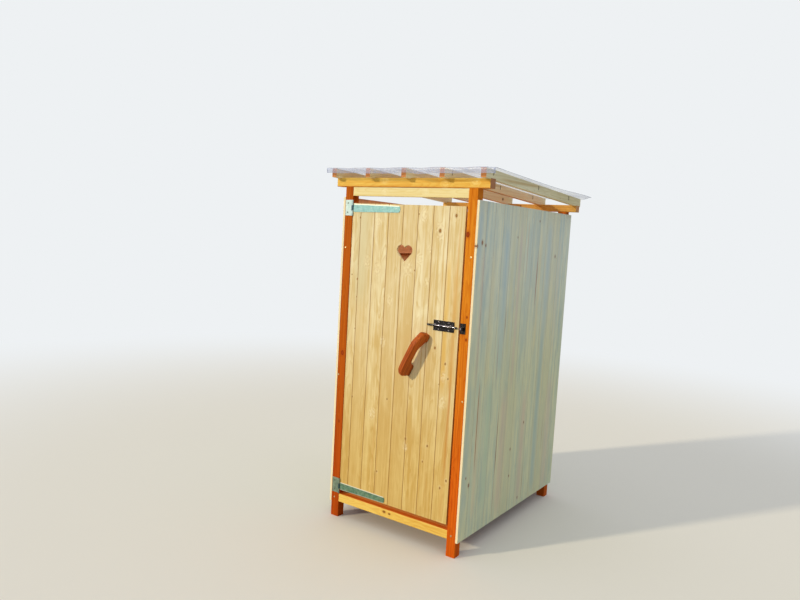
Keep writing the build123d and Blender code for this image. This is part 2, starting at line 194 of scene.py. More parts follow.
def timber(
    name, pale, deep, order, piece, seed, boards=None, ring=4.0, ring_show=0.35, streak_show=0.5,
    tone_show=0.35, streak_width=11.0, cloud_show=0.0, knots=(), pale_knots=(), loose_knots=0.0,
    streaks=(), patches=(), coats=(), knot_colour="#7A4A22", rim_colour="#4E2D12", end_colour=None,
    seam_colour="#7E6236", seam_width=3.4, board_tint=None, tint_show=0.5, halo_colour=None,
    arc_show=0.0, arc_colour="#B98746", turn=0.0, rough=0.58, gloss=0.3,
):
    """Sawn softwood whose grain runs along one axis, on object coordinates in millimetres.
    order names the axes across the face, into the depth and along the grain; piece is the one that
    the pattern is centred on. The growth rings are circles round a pith beside the piece, wobbled
    by noise; boards=(first, cover) gives every board its own pith and tint, with a dark seam
    between them. Each knot is (across, along, radius); a pale knot is the same, only overgrown, so
    that just the light grain swirls round it. A streak is (colour, across, from, to, width,
    share). A patch is (colour, axis, start, end, share): the colour comes in from start to end
    along that axis, and darkens what it covers; a coat is the same and hides it. turn leans the
    grain about the y axis."""
    made, add = material(name)
    place = add("TexCoord", out=None)
    lean = np.radians(turn)
    x, y, z = middle_of(piece)
    middle = (x * np.cos(lean) + z * np.sin(lean), y, z * np.cos(lean) - x * np.sin(lean))
    size = {"Vector": place.outputs["Object"], "Rotation": (0, lean, 0), "Scale": (1000, 1000, 1000)}
    split = add("SeparateXYZ", [add("Mapping", size)], out=None)
    across, depth, run = (split.outputs[AXES.index(letter)] for letter in order)
    centre_across, centre_depth = (1000.0 * middle[AXES.index(letter)] for letter in order[:2])
    grain = add("CombineXYZ", [across, depth, run])
    number, half = 0.0, beam_half
    if boards:
        first, cover = boards
        half = cover / 2
        steps = add("Math DIVIDE", [add("Math SUBTRACT", [across, first]), cover])
        number = add("Math FLOOR", [steps])
        centre_across = add("Math MULTIPLY_ADD", [number, cover, first + half])
    own = add("CombineXYZ", [number, seed * 7.31])
    own = add("TexWhiteNoise", {"Vector": own}, out="Color", noise_dimensions="3D")
    own_split = add("SeparateXYZ", [own], out=None)
    shift = add("VectorMath SCALE", {0: own, "Scale": 61.0})

    def blotches(across_size, along_size, detail, out=0, **more):
        """Noise drawn out along the grain, its blotches of those two sizes in millimetres."""
        share = (1 / across_size, 1 / across_size, 1 / along_size)
        spot = add("VectorMath MULTIPLY_ADD", [grain, share, shift])
        return add("TexNoise", {"Vector": spot, "Scale": 1.0, "Detail": detail, **more}, out=out)

    def nearest(places):
        """The distance to the nearest of those knots, in knot radii."""
        found = None
        for knot_across, knot_along, radius in places:
            away = add("VectorMath SUBTRACT", [grain, (knot_across, 0, knot_along)])
            away = add("VectorMath MULTIPLY", [away, (1 / radius, 0, 0.7 / radius)])
            away = add("VectorMath LENGTH", [away], out="Value")
            found = away if found is None else add("Math MINIMUM", [found, away])
        return found

    near, swirl = nearest(knots), nearest(pale_knots)
    if loose_knots:
        flat = add("VectorMath MULTIPLY", [grain, (1 / loose_knots, 0, 0.8 / loose_knots)])
        flat = add("SeparateXYZ", [flat], out=None)
        flat = add("CombineXYZ", [flat.outputs[0], flat.outputs[2], seed * 3.7])
        flat = add("VectorMath ADD", [flat, (seed * 1.3, seed * 2.9, 0)])
        cells = add("TexVoronoi", {"Vector": flat, "Scale": 1.0}, out=None, voronoi_dimensions="2D")
        chance = add("SeparateXYZ", [cells.outputs["Color"]])
        width = add("MapRange", [chance, 0.45, 1.0, 1.2, 9.0])
        gap = add("Math MULTIPLY", [cells.outputs["Distance"], loose_knots])
        gap = add("Math DIVIDE", [gap, width])
        near = gap if near is None else add("Math MINIMUM", [near, gap])

    # growth rings round the pith, wobbling by up to 23 mm and pushed aside by the knots
    wobble = blotches(110, 520, 2.0, out="Color")
    wobble = add("VectorMath SUBTRACT", [wobble, (0.5, 0.5, 0.5)])
    wobble = add("VectorMath MULTIPLY", [wobble, (46.0, 46.0, 0)])
    pith_across = add("MapRange", [own_split.outputs[0], 0.0, 1.0, -0.8 * half, 0.8 * half])
    pith_across = add("Math ADD", [pith_across, centre_across])
    pith_depth = add("MapRange", [own_split.outputs[1], 0.0, 1.0, centre_depth + 25, centre_depth + 95])
    pith = add("CombineXYZ", [pith_across, pith_depth])
    beside = add("VectorMath SUBTRACT", [grain, pith])
    beside = add("VectorMath MULTIPLY_ADD", [beside, (1, 1, 0), wobble])
    radius = add("VectorMath LENGTH", [beside], out="Value")
    for apart, rings in ((near, 4.5), (swirl, 1.7)):
        if apart is not None:
            swell = add("MapRange", [apart, 0.3, 4.0, rings * ring, 0.0], interpolation_type="SMOOTHERSTEP")
            radius = add("Math ADD", [radius, swell])
    phase = add("Math FRACT", [add("Math DIVIDE", [radius, ring])])
    late = add("ValToRGB", [phase], out=None)
    ramp = late.color_ramp
    ramp.elements[0].color = (0.05, 0.05, 0.05, 1)
    ramp.elements[1].color = (0.12, 0.12, 0.12, 1)
    for position, level in ((0.55, 0.3), (0.86, 1.0), (0.93, 0.7)):
        ramp.elements.new(position).color = (level, level, level, 1)
    late = late.outputs["Color"]

    # late wood, lengthwise streaks, broad tone, fine fibres and clouds, by the share each shows
    streak = blotches(streak_width, 620, 3.0, Roughness=0.55)
    streak = add("MapRange", [streak, 0.36, 0.68], **EASED)
    tone = add("MapRange", [blotches(75, 900, 1.0), 0.3, 0.7])
    fibre = blotches(1.1, 55, 2.0)
    layers = [(streak, streak_show), (tone, tone_show), (fibre, 0.16)]
    if cloud_show:
        cloud = add("MapRange", [blotches(42, 150, 3.0, Distortion=0.6), 0.35, 0.65, -0.5, 0.5])
        layers.append((cloud, cloud_show))
    shade = add("Math MULTIPLY", [late, ring_show])
    for layer, show in layers:
        shade = add("Math MULTIPLY_ADD", [layer, show, shade])
    shade = add("Math SUBTRACT", [shade, 0.08], use_clamp=True)

    # colours laid one over the other: (share, colour, blend)
    laid = []
    if board_tint:
        laid.append((add("Math MULTIPLY", [own_split.outputs[2], tint_show]), board_tint, "MIX"))
    drift = add("Math MULTIPLY_ADD", [add("SeparateXYZ", [wobble]), 0.35, across])
    for streak_colour, streak_across, start, end, width, share in streaks:
        side = add("Math ABSOLUTE", [add("Math SUBTRACT", [drift, streak_across])])
        side = add("MapRange", [side, width, 1.0, 0.0, share], **EASED)
        for stop, fade in ((start, 90.0), (end, -90.0)):
            part = add("MapRange", [run, stop - fade, stop + fade], **EASED)
            side = add("Math MULTIPLY", [side, part])
        laid.append((side, streak_colour, "MIX"))
    for places, blend in ((patches, "MULTIPLY"), (coats, "MIX")):
        for patch_colour, axis, start, end, share in places:
            part = add("MapRange", [split.outputs[AXES.index(axis)], start, end, 0.0, share], **EASED)
            laid.append((part, patch_colour, blend))
    for apart, share, faint in ((near, 0.35, 0.15), (swirl, 0.7, 0.55)) if halo_colour else ():
        if apart is not None:
            shine = add("MapRange", [apart, 3.4, 1.2, 0.0, share], **EASED)
            calm = add("MapRange", [late, 0.0, 1.0, 1.0, faint])
            shine = add("Math MULTIPLY", [shine, calm])
            fan = add("MapRange", [blotches(14, 22, 1.0), 0.38, 0.62, 0.15, 1.0])
            shine = add("Math MULTIPLY", [shine, fan])
            laid.append((shine, halo_colour, "MIX"))
    if swirl is not None and arc_show:
        spots = add("MapRange", [blotches(16, 16, 1.0), 0.42, 0.56, 0.0, arc_show])
        for reach in (0.8, 2.0):
            arc = add("Math ABSOLUTE", [add("Math SUBTRACT", [swirl, reach])])
            arc = add("MapRange", [arc, 0.6, 0.1], **EASED)
            arc = add("Math MULTIPLY", [arc, spots])
            laid.append((arc, arc_colour, "MIX"))
    if near is not None:
        heart = add("MapRange", [near, 0.85, 0.3, 0.0, 0.75], **EASED)
        heart = add("Mix", {"Factor": heart, 6: rim_colour, 7: knot_colour}, **IN_COLOUR)
        laid.append((add("MapRange", [near, 2.2, 0.9, 0.0, 0.4], **EASED), knot_colour, "MIX"))
        laid.append((add("MapRange", [near, 1.05, 0.8], **EASED), heart, "MIX"))
    if boards:
        edge = add("Math SUBTRACT", [add("Math FRACT", [steps]), 0.5])
        edge = add("Math ABSOLUTE", [edge])
        worn = seam_width / cover
        edge = add("MapRange", [edge, 0.5 - worn, 0.5 - 0.3 * worn, 0.0, 0.85], **EASED)
        laid.append((edge, seam_colour, "MIX"))
    if end_colour:
        facing = add("SeparateXYZ", [place.outputs["Normal"]], out=AXES.index(order[2]))
        facing = add("Math ABSOLUTE", [facing])
        cut = add("Mix", {"Factor": late, 6: end_colour, 7: rim_colour}, **IN_COLOUR)
        cut = add("Mix", {"Factor": 0.35, 6: end_colour, 7: cut}, **IN_COLOUR)
        laid.append((add("MapRange", [facing, 0.75, 0.9]), cut, "MIX"))
    colour = add("Mix", {"Factor": shade, 6: pale, 7: deep}, clamp_factor=True, **IN_COLOUR)
    for share, over, blend in laid:
        colour = add("Mix", {"Factor": share, 6: colour, 7: over}, blend_type=blend, **IN_COLOUR)

    height = add("Math MULTIPLY_ADD", [late, 0.5, fibre])
    skin = {"Base Color": colour, "Roughness": rough, "Specular IOR Level": gloss}
    skin["Normal"] = add("Bump", {"Strength": 0.25, "Distance": 0.0006, "Height": height})
    add("OutputMaterial", [add("BsdfPrincipled", skin)], out=None)
    return made


# Stained spruce: a dry, nearly matt orange with darker late wood and burnt-looking knots.
post_looks = {
    "post_front_left": ("#D06E14", "#A64606", 3, [(-468, 1094, 12), (-470, 640, 7)], "#EDC4AC"),
    "post_front_right": (
        "#F09A28", "#C86406", 5, [(403, 1899, 12), (432, 1430, 5), (436, 1300, 6)], "#F0B488",
    ),
    "post_back_left": ("#E2882A", "#B85C10", 8, [(-470, 900, 9)], "#EDC4AC"),
    "post_back_right": ("#E2882A", "#B85C10", 11, [(440, 1250, 9), (430, 620, 7)], "#EDC4AC"),
}
for name, (pale, deep, seed, knots, foot) in post_looks.items():
    stained = timber(
        f"stained_spruce_{name}", pale, deep, "xyz", name, seed, ring=3.6, streak_width=8.0, ring_show=0.3,
        knots=knots, knot_colour="#AE4A12", rim_colour="#86300A", end_colour="#8A3E12",
        patches=[(foot, "z", 1500, 250, 1.0)], rough=0.7, gloss=0.08,
    )
    finish(name, stained)

# Purlins, head rail and sill: the front purlin and the sill are brushed with honey-coloured
# glaze, the head rail between the posts is left as planed pale spruce. The sill's top, under the
# door, is a darker orange than its front.

# Honey glaze: a thin clear yellow film, so that the grain and the knots stay sharp under it.
honey_purlin = timber(
    "honey_glazed_spruce", "#FFDA68", "#E6A834", "zyx", "front_purlin", 21,
    pale_knots=[(2196, -200, 9), (2180, 236, 8), (2190, 430, 8)], halo_colour="#FFE08A",
    rim_colour="#9A5A22", end_colour="#B0764A", streak_width=7.0, ring_show=0.35,
    # painted shade: a darker band along the lower edge of the front
    patches=[("#E0A45C", "z", 2172, 2160, 0.8)],
)
finish("front_purlin", honey_purlin)
# Amber glaze: the same film with more pigment, so the rear purlin is a little browner.
amber_purlin = timber(
    "amber_glazed_spruce", "#F2C05E", "#D2923C", "zyx", "rear_purlin", 22, loose_knots=210.0,
    knot_colour="#8A3A16", rim_colour="#8E4A20", end_colour="#CC9050", streak_width=7.0,
)
finish("rear_purlin", amber_purlin)
# Planed spruce without a finish: the palest wood on the cabin, soft and even.
pale_rail = timber(
    "planed_pale_spruce", "#FCF0BC", "#ECD286", "zyx", "head_rail", 23,
    pale_knots=[(2130, -196, 8), (2140, 96, 7)], halo_colour="#FFF2C4", rim_colour="#96692E",
    end_colour="#D0A765", streak_width=9.0,
)
finish("head_rail", pale_rail)
honey_sill = timber(
    "honey_glazed_sill", "#FAD870", "#E4AE42", "zyx", "sill", 24, knots=[(137, -71, 8), (134, -30, 6)],
    knot_colour="#B8741C", rim_colour="#7A4512", end_colour="#A05A20", streak_width=8.0,
    patches=[("#F09058", "z", 155, 156.8, 1.0)],
)
finish("sill", honey_sill)

# Battens behind the cladding: planed rails between the posts, brushed inside with red-brown
# stain, as seen through the heart in the door. Their colour is painted lighter than the stain, as
# painted light in the dim room inside, and it is streaky.
batten_knots = dict(loose_knots=260.0, knot_colour="#6E3014", rim_colour="#4A1E0C", end_colour="#8A4A26")
side_batten = timber(
    "red_brown_stained_batten", "#DFA27A", "#C28258", "zxy", "left_middle_rail", 31, **batten_knots
)
back_batten = timber(
    "red_brown_stained_back_batten", "#EDAE84", "#D08C62", "zyx", "back_top_rail", 32, **batten_knots
)
for level in ("bottom", "middle", "top"):
    finish(f"left_{level}_rail", side_batten)
    finish(f"right_{level}_rail", side_batten)
for level in ("bottom", "top"):
    finish(f"back_{level}_rail", back_batten)

# Cladding: vertical spruce profile boards with a v-joint, nailed to the rails, thinly glazed
# outside so that they stay pale, and stained red-brown on the inner face. The glaze has dried
# in soft bluish, cream and pinkish bands, and dirt has drawn thin brown lines at some seams.
board_cover = 108.0
wall_low, wall_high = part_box("right_wall")
back_low, back_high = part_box("back_wall")
side_ripped, back_ripped = 98.0, 99.0
side_first = wall_low.y * 1000 + side_ripped
back_first = back_low.x * 1000 + back_ripped
wall_knots = [
    (-595, 1858, 9), (-651, 1837, 7), (-551, 1843, 6), (477, 1783, 7), (179, 2014, 5), (156, 665, 6),
    (-25, 520, 6), (-565, 424, 8), (-604, 477, 5), (-18, 339, 6), (140, 146, 6), (-137, 1900, 4),
]
wall_bands = [
    ("#C0D4D8", -616, 250, 1000, 40, 0.5), ("#EEDDC2", -498, 200, 950, 46, 0.5),
    ("#B6D4CC", -374, 250, 1000, 60, 0.5), ("#E8CEC2", -164, 150, 900, 80, 0.5),
    ("#E0DEC0", 0, 150, 900, 50, 0.4), ("#E8CEC4", 143, 150, 850, 66, 0.5),
    ("#AECCDA", 355, 150, 1250, 60, 0.6), ("#E6D2C8", 564, 100, 900, 90, 0.5),
    ("#B4CEDC", -622, 1650, 2050, 44, 0.5), ("#DEC8BA", -562, 1050, 1800, 30, 0.4),
    ("#EAE2BC", -433, 1000, 1800, 50, 0.5), ("#B8D2DC", -273, 1050, 1950, 64, 0.5),
    ("#E4E2BA", -182, 1150, 1900, 32, 0.5), ("#DEC8C0", -81, 950, 1950, 34, 0.4),
    ("#C4D4D0", 70, 1150, 2000, 60, 0.4), ("#EEE2B6", 229, 1150, 1900, 40, 0.5),
    ("#B2CEDC", 362, 1250, 2000, 72, 0.5), ("#EAE0C4", 552, 1050, 1900, 60, 0.4),
    ("#B06A48", -510, 540, 1000, 6, 1.0), ("#9A5C42", -232, 440, 760, 5, 1.0),
    ("#9A5C42", -228, 1330, 1420, 5, 1.0), ("#B06848", 190, 1480, 1760, 6, 1.0),
    ("#B07E66", -236, 190, 340, 5, 0.7), ("#B4826A", 194, 170, 320, 5, 0.7),
    ("#B4826A", 481, 420, 620, 4, 0.6), ("#B4826A", -300, 1000, 1250, 4, 0.6),
    ("#B4826A", 20, 1650, 2000, 4, 0.6),
]
left_knots = [(-380, 1500, 8), (120, 900, 7), (330, 1810, 6), (-160, 420, 8), (560, 520, 6), (-520, 1150, 6)]
left_bands = [
    ("#B4CED2", 300, 200, 1400, 50, 0.5), ("#B8D2D4", -360, 700, 1800, 44, 0.4),
    ("#B8D2D4", 20, 300, 1300, 40, 0.35), ("#C48E78", 410, 250, 900, 4, 0.6),
    ("#C08A74", -130, 1200, 1900, 4, 0.6),
]
back_knots = [(-380, 1300, 8), (120, 700, 7), (330, 1710, 6), (-160, 1820, 8), (260, 300, 6), (-300, 520, 6)]
back_bands = [
    ("#B4CED2", 300, 400, 1500, 50, 0.5), ("#B8D2D4", -260, 800, 1900, 44, 0.4),
    ("#C48E78", 60, 250, 900, 4, 0.6),
]
# darker and yellower towards the bottom of the boards
yellower_below = ("#F6F4E0", "z", 1850, 900, 1.0)
fresh_edge = ("#FCEAC0", "y", -655.6, -656.4, 1.0)
# painted light: the inner faces' red-brown is lighter than the stain, for the dim room inside
right_inside, left_inside = ("#F2B08C", "x", 455.0, 452.6, 1.0), ("#F6B490", "x", -505.0, -502.6, 1.0)
back_inside = ("#F2B08C", "y", 708.5, 706.1, 1.0)
walls = (
    ("right", "yxz", 41, side_first, wall_knots, wall_bands, right_inside, [fresh_edge]),
    ("left", "yxz", 43, side_first, left_knots, left_bands, left_inside, [fresh_edge]),
    ("back", "xyz", 47, back_first, back_knots, back_bands, back_inside, []),
)
for side, order, seed, first, knots, bands, inside, coats in walls:
    glazed = timber(
        f"thinly_glazed_spruce_{side}", "#EFF2D8", "#C4D5D0", order, f"{side}_wall", seed,
        boards=(first, board_cover), knots=knots, streaks=bands, patches=[yellower_below, inside], coats=coats,
        ring_show=0.2, streak_show=0.4, tone_show=0.45, streak_width=20.0, cloud_show=0.4,
        knot_colour="#B08A66", rim_colour="#8A6450", seam_colour="#BCA090", seam_width=2.0,
        board_tint="#E8E0BA", end_colour="#F0DFB4", rough=0.62, gloss=0.25,
    )
    finish(f"{side}_wall", glazed)

# Nails: one wire nail through every wall board at each rail, near one edge of the board. The
# small flat heads of zinc-plated steel are driven flush and have gone dull outdoors.
nail_aside = 0.036
nail_radius = 0.0016
nail_rings = np.array([0.1, 0.8, 1.0, 1.0])
nail_heights = np.array([0.0005, 0.0005, 0.0002, -0.0003])
side_margin, back_margin = 0.03, 0.04


def round_heads(places, facing, radius, share, height, columns):
    """Round heads on a face, as a stack with one grid to a head: each row is a ring at its share
    of the radius and its height over the face."""
    facing, upright = np.asarray(facing, dtype=float), np.array((0.0, 0.0, 1.0))
    angle = np.linspace(0, -2 * np.pi, columns, endpoint=False)[:, None]
    ring = np.cos(angle) * np.cross(upright, facing) + np.sin(angle) * upright
    flat = radius * share[:, None, None] * ring
    return np.asarray(places)[:, None, None] + flat + height[..., None] * facing


def surface(name, points, closed_around=False, caps=False):
    """A smooth mesh from a grid of points (rows, columns, 3), or from a stack of such grids:
    each cell is one face. The columns join up where closed_around is set, and caps closes the
    first and last row with a fan round its middle."""
    points = np.asarray(points, dtype=float)
    points = points[None] if points.ndim == 3 else points
    pieces, rows, columns = points.shape[:3]
    number = np.arange(pieces * rows * columns).reshape(pieces, rows, columns)
    if closed_around:
        number = np.concatenate([number, number[:, :, :1]], axis=2)
    cells = [number[:, :-1, :-1], number[:, :-1, 1:], number[:, 1:, 1:], number[:, 1:, :-1]]
    vertices = points.reshape(-1, 3)
    faces = np.stack(cells, axis=-1).reshape(-1, 4).tolist()
    for row, order in ((0, (1, 0)), (-1, (0, 1))) if caps else ():
        hub = len(vertices) + np.arange(pieces)[:, None] + np.zeros((1, columns), dtype=int)
        vertices = np.concatenate([vertices, points[:, row].mean(axis=1)])
        rim = (number[:, row, :-1], number[:, row, 1:])
        faces += np.stack([hub, rim[order[0]], rim[order[1]]], axis=-1).reshape(-1, 3).tolist()
    mesh = bpy.data.meshes.new(name)
    mesh.from_pydata(vertices.tolist(), [], faces)
    mesh.polygons.foreach_set("use_smooth", [True] * len(mesh.polygons))
    return place_in_scene(name, mesh)


def gritty_steel(name, pale, deep, metallic, rough, grit=0.002):
    """Small steel ware, plated or blued: two close tones in a fine grit, with an even soft shine."""
    made, add = material(name)
    spot = add("TexNoise", {"Vector": add("TexCoord", out="Object"), "Scale": 1 / grit, "Detail": 2.0})
    tone = add("Mix", {"Factor": spot, 6: deep, 7: pale}, **IN_COLOUR)
    steel = add("BsdfPrincipled", {"Base Color": tone, "Metallic": metallic, "Roughness": rough})
    add("OutputMaterial", [steel], out=None)
    return made


# Dull zinc: weathered grey with little shine left.
dull_zinc = gritty_steel("dull_zinc_nails", "#A39A8C", "#6E6458", 0.7, 0.5)
side_nails = (side_first + board_cover * (np.arange(13) - 0.5)) / 1000
side_nails = side_nails.clip(wall_low.y + side_margin, wall_high.y - side_margin) + nail_aside
back_nails = (back_first + board_cover * (np.arange(9) - 0.5)) / 1000
back_nails = back_nails.clip(back_low.x + back_margin, back_high.x - back_margin) + nail_aside
side_rails = [middle_of(f"left_{level}_rail").z for level in ("bottom", "middle", "top")]
back_rails = [middle_of(f"back_{level}_rail").z for level in ("bottom", "top")]
left_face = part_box("left_wall")[0].x
nail_rows = {
    "right": ([(wall_high.x, y, z) for z in side_rails for y in side_nails], (1, 0, 0)),
    "left": ([(left_face, y, z) for z in side_rails for y in side_nails], (-1, 0, 0)),
    "back": ([(x, back_high.y, z) for z in back_rails for x in back_nails], (0, 1, 0)),
}
for side, (places, facing) in nail_rows.items():
    heads = round_heads(places, facing, nail_radius, nail_rings, nail_heights[:, None], 10)
    nails = surface(f"{side}_wall_nails", heads, closed_around=True, caps=True)
    nails.data.materials.append(dull_zinc)
    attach(nails, "cabin")

# Floor: spruce planks laid across the bottom rails with open gaps and brushed with the rails'
# stain. It hardly shows, and gives the room a warm brown ground.
plank_cover, half_gap = 112.0, 2.0
floor_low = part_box("floor_boards")[0]
floor_planks = timber(
    "stained_floor_planks", "#C98A52", "#9A5C30", "yzx", "floor_boards", 51, loose_knots=260.0,
    boards=(floor_low.y * 1000 - half_gap, plank_cover), knot_colour="#6E3A1A", rim_colour="#48230F",
    seam_width=1.0, end_colour="#8A5028",
)
finish("floor_boards", floor_planks)

# Filler strip: a ripped batten that closes the slot between the sill and the first plank, under
# the door, nailed to the sill's back and brushed with the posts' orange stain.
strip_height, strip_ease = 0.024, 0.002
strip_gaps = (0.0005, 0.0015, 0.0005)


def batten(name, low, high, ease, around=24):
    """A planed batten along x: a rectangle whose corners are quarter circles of that radius,
    carried from one end to the other, the first and last section drawn in by the radius."""
    low, high = np.asarray(low, dtype=float), np.asarray(high, dtype=float)
    angle = 2 * np.pi * (np.arange(around) + 0.5) / around
    turn = np.stack([0 * angle, np.cos(angle), np.sin(angle)], axis=-1)
    shrink = np.array([ease, 0.3 * ease, 0.0, 0.0, 0.3 * ease, ease])
    x = np.array([low[0], low[0] + 0.3 * ease, low[0] + ease, high[0] - ease, high[0] - 0.3 * ease, high[0]])
    half = (high - low) / 2 - ease
    section = (low + high) / 2 * (0, 1, 1) + np.sign(turn) * half + (ease * turn)
    inward = np.sign(turn) * (0, 1, 1)
    points = section[None] - inward[None] * shrink[:, None, None] + x[:, None, None] * (1, 0, 0)
    return surface(name, points, closed_around=True, caps=True)


sill_low, sill_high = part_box("sill")
strip_low = (sill_low.x, sill_high.y + strip_gaps[0], sill_high.z - strip_height)
strip_high = (sill_high.x, floor_low.y - strip_gaps[1], sill_high.z - strip_gaps[2])
strip = batten("floor_filler_strip", strip_low, strip_high, strip_ease)
strip_stain = timber("stained_filler_strip", "#EE9A4C", "#CC6C22", "zyx", "sill", 52)
strip.data.materials.append(strip_stain)
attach(strip, "cabin")

# Rafters: five planed battens on edge, notched over both purlins, pale on their sides and
# brushed brown on the front ends. Their tones are raised above planed spruce's, most on rafters
# 1 to 4, as painted light on the sides that lie in shade under the sheet.
rafter_tones = (
    ("#FFF2CC", "#E8CC94"), ("#FFF4CC", "#E8CC94"), ("#FFF6D2", "#EED69C"), ("#FFF6D6", "#EED8A6"),
    ("#FBF4D0", "#D8CA98"),
)
for count, (pale, deep) in enumerate(rafter_tones, 1):
    rafter = f"rafter_{count}"
    planed = timber(
        f"planed_spruce_{rafter}", pale, deep, "zxy", rafter, 60 + count, loose_knots=240.0,
        knot_colour="#9A7440", rim_colour="#6A4722", end_colour="#DE8E4C", streak_width=8.0,
        tone_show=0.5, streaks=[("#CDA966", 2221, -500, 0, 15, 0.6)],
    )
    finish(rafter, planed)

# Roof: one thin clear plastic sheet, a little hazy from handling, laid over the rafters. It sags
# between them, its free edge has curled up at the back on the right, and the front edge is bent
# down over the rafters' ends. It is held by bent wire clips in the outer rafters' sides.
film_thickness = 0.0012
film_lift = film_thickness + 0.0002
film_inset = 0.0005
film_sag = 0.0045
film_curl = 0.017
film_droop = 0.004
film_bend = 0.014
film_lip = 0.024
film_lip_wave = (0.009, 0.007)
rafter_clear = 0.006
roof_slope = np.tan(np.radians(2.95))
clip_length, clip_wire, clip_knee, clip_drop = 0.026, 0.0014, 0.003, 0.006
clip_places = (-0.6285, -0.0165, 0.4925)
sheet_low, sheet_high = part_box("roof_sheet")
rafter_middles = [middle_of(f"rafter_{n}").x for n in range(1, 6)]
rafter_low, rafter_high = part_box("rafter_5")
rafter_pitch = rafter_middles[1] - rafter_middles[0]
rafter_half = (rafter_high.x - rafter_low.x) / 2 + rafter_clear


def smooth(value):
    """0 below 0, 1 above 1 and 3v^2 - 2v^3 between."""
    value = np.clip(value, 0.0, 1.0)
    return value * value * (3 - 2 * value)


def roof_top(y):
    """The height of the rafters' upper edge at that depth: a straight fall from their front."""
    return rafter_high.z - roof_slope * (y - rafter_low.y)


def film_points(columns=96, rows=90):
    """The sheet's outer face, and where it is a hem and where it hangs. Along the path: down the
    slope from the back edge, round the bend and down the lip. Across: the sag is a sine-squared
    bow between two rafters, and the curl a smooth rise beyond the last one, growing to the back."""
    x = np.linspace(sheet_low.x + film_inset, sheet_high.x - film_inset, columns)
    bend = np.linspace(0, np.pi / 2, 9)[1:]
    flat = np.linspace(sheet_high.y, sheet_low.y + film_bend, rows)
    lip = np.linspace(0.25, 1.0, 6)
    between = ((x - rafter_middles[0] - rafter_half) / rafter_pitch) % 1.0
    free = 1 - 2 * rafter_half / rafter_pitch
    bow = np.where(between < free, np.sin(np.pi * np.clip(between / free, 0, 1)) ** 2, 0.0)
    bow = np.where((x < rafter_middles[0]) | (x > rafter_middles[-1]), 0.0, bow)
    last = rafter_middles[-1] + rafter_half
    outer = smooth((x - last) / (sheet_high.x - last))
    round_bend = sheet_low.y + film_bend * (1 - np.sin(bend))
    y = np.concatenate([flat, round_bend, np.full(lip.size, sheet_low.y)])[:, None]
    drop = np.concatenate([0 * flat, film_bend * (1 - np.cos(bend)), film_bend + film_lip * lip])[:, None]
    top = np.pad(roof_top(flat) + film_lift, (0, bend.size + lip.size), mode="edge")[:, None]
    down = np.concatenate([0 * flat, 0 * bend, lip])[:, None]
    wave = 0.5 + 0.5 * np.sin(9.0 * x + 1.3) * np.cos(23.0 * x)
    sag = film_sag * bow * (0.6 + 0.4 * np.sin(7.0 * y + 3.0 * x))
    curl = film_curl * outer * smooth((y - 0.1) / 0.6)
    droop = film_droop * outer * smooth((0.35 - y) / 0.6)
    z = top - drop - sag + curl - droop + down * film_lip_wave[1] * wave
    y = y + down * film_lip_wave[0] * wave
    side = np.minimum(abs(x - x[0]), abs(x - x[-1]))
    end = np.minimum(abs(y - sheet_high.y), 0.004 + (1 - down) * 0.06)
    hem = 1 - smooth(np.minimum(side, end) / 0.012)
    hang = smooth((drop - 0.002) / 0.012) + 0 * x
    return np.stack([x + 0 * y, y, z], axis=-1)[::-1], hem[::-1], hang[::-1]


points, hem, hang = film_points()
film = surface("roof_film", points)
for label, value in (("hem", hem), ("hang", hang)):
    marks = film.data.attributes.new(label, "FLOAT", "POINT")
    marks.data.foreach_set("value", value.ravel().astype(np.float32))
shell = film.modifiers.new("film_thickness", "SOLIDIFY")
shell.thickness = film_thickness
shell.offset = -1.0
# Clear polythene: the light mostly passes, a lavender haze and lengthwise scuffs of 50 mm by
# 400 mm stay on it, thicker at the hems and at the lip. The haze also thickens at a flat angle,
# which is a painted reflection.
haze, add = material("clear_polythene_sheet")
place = add("TexCoord", out="Object")
scuff_at = add("VectorMath MULTIPLY", [place, (1 / 0.05, 1 / 0.4, 1 / 0.05)])
scuff = add("TexNoise", {"Vector": scuff_at, "Scale": 1.0, "Detail": 4.0, "Roughness": 0.6})
veil = add("MapRange", [scuff, 0.42, 0.75, 0.05, 0.22])
# painted reflection: the haze thickens where the sheet is seen at a flat angle
veil = add("Math MULTIPLY_ADD", [add("LayerWeight", {"Blend": 0.35}, out="Facing"), 0.16, veil])
hem = add("Attribute", out="Fac", attribute_name="hem")
hang = add("Attribute", out="Fac", attribute_name="hang")
veil = add("Math MULTIPLY_ADD", [hem, 0.3, veil])
veil = add("Math MULTIPLY_ADD", [hang, 0.17, veil], use_clamp=True)
fog = add("MapRange", [scuff, 0.3, 0.7, 0.12, 0.3])
clear = {"Base Color": "#BCC6E8", "Roughness": fog, "Alpha": veil, "Specular IOR Level": 0.5}
add("OutputMaterial", [add("BsdfPrincipled", clear)], out=None)
film.data.materials.append(haze)
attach(film, "cabin")
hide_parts("roof_sheet")


def wire(name, path, radius, around=10):
    """A round wire: circles of that radius square to the path, carried along its points; the
    first and last circle are drawn together into rounded ends."""
    path = np.asarray(path, dtype=float)
    along = np.gradient(path, axis=0)
    along /= np.linalg.norm(along, axis=1)[:, None]
    aside = np.cross(along, np.array([0.31, 0.87, 0.38]))
    aside /= np.linalg.norm(aside, axis=1)[:, None]
    other = np.cross(along, aside)
    angle = np.linspace(0, 2 * np.pi, around, endpoint=False)
    ring = np.cos(angle)[None, :, None] * aside[:, None] + np.sin(angle)[None, :, None] * other[:, None]
    width = np.full(len(path), radius)
    width[[0, -1]] *= 0.55
    return surface(name, path[:, None] + ring * width[:, None, None], closed_around=True, caps=True)


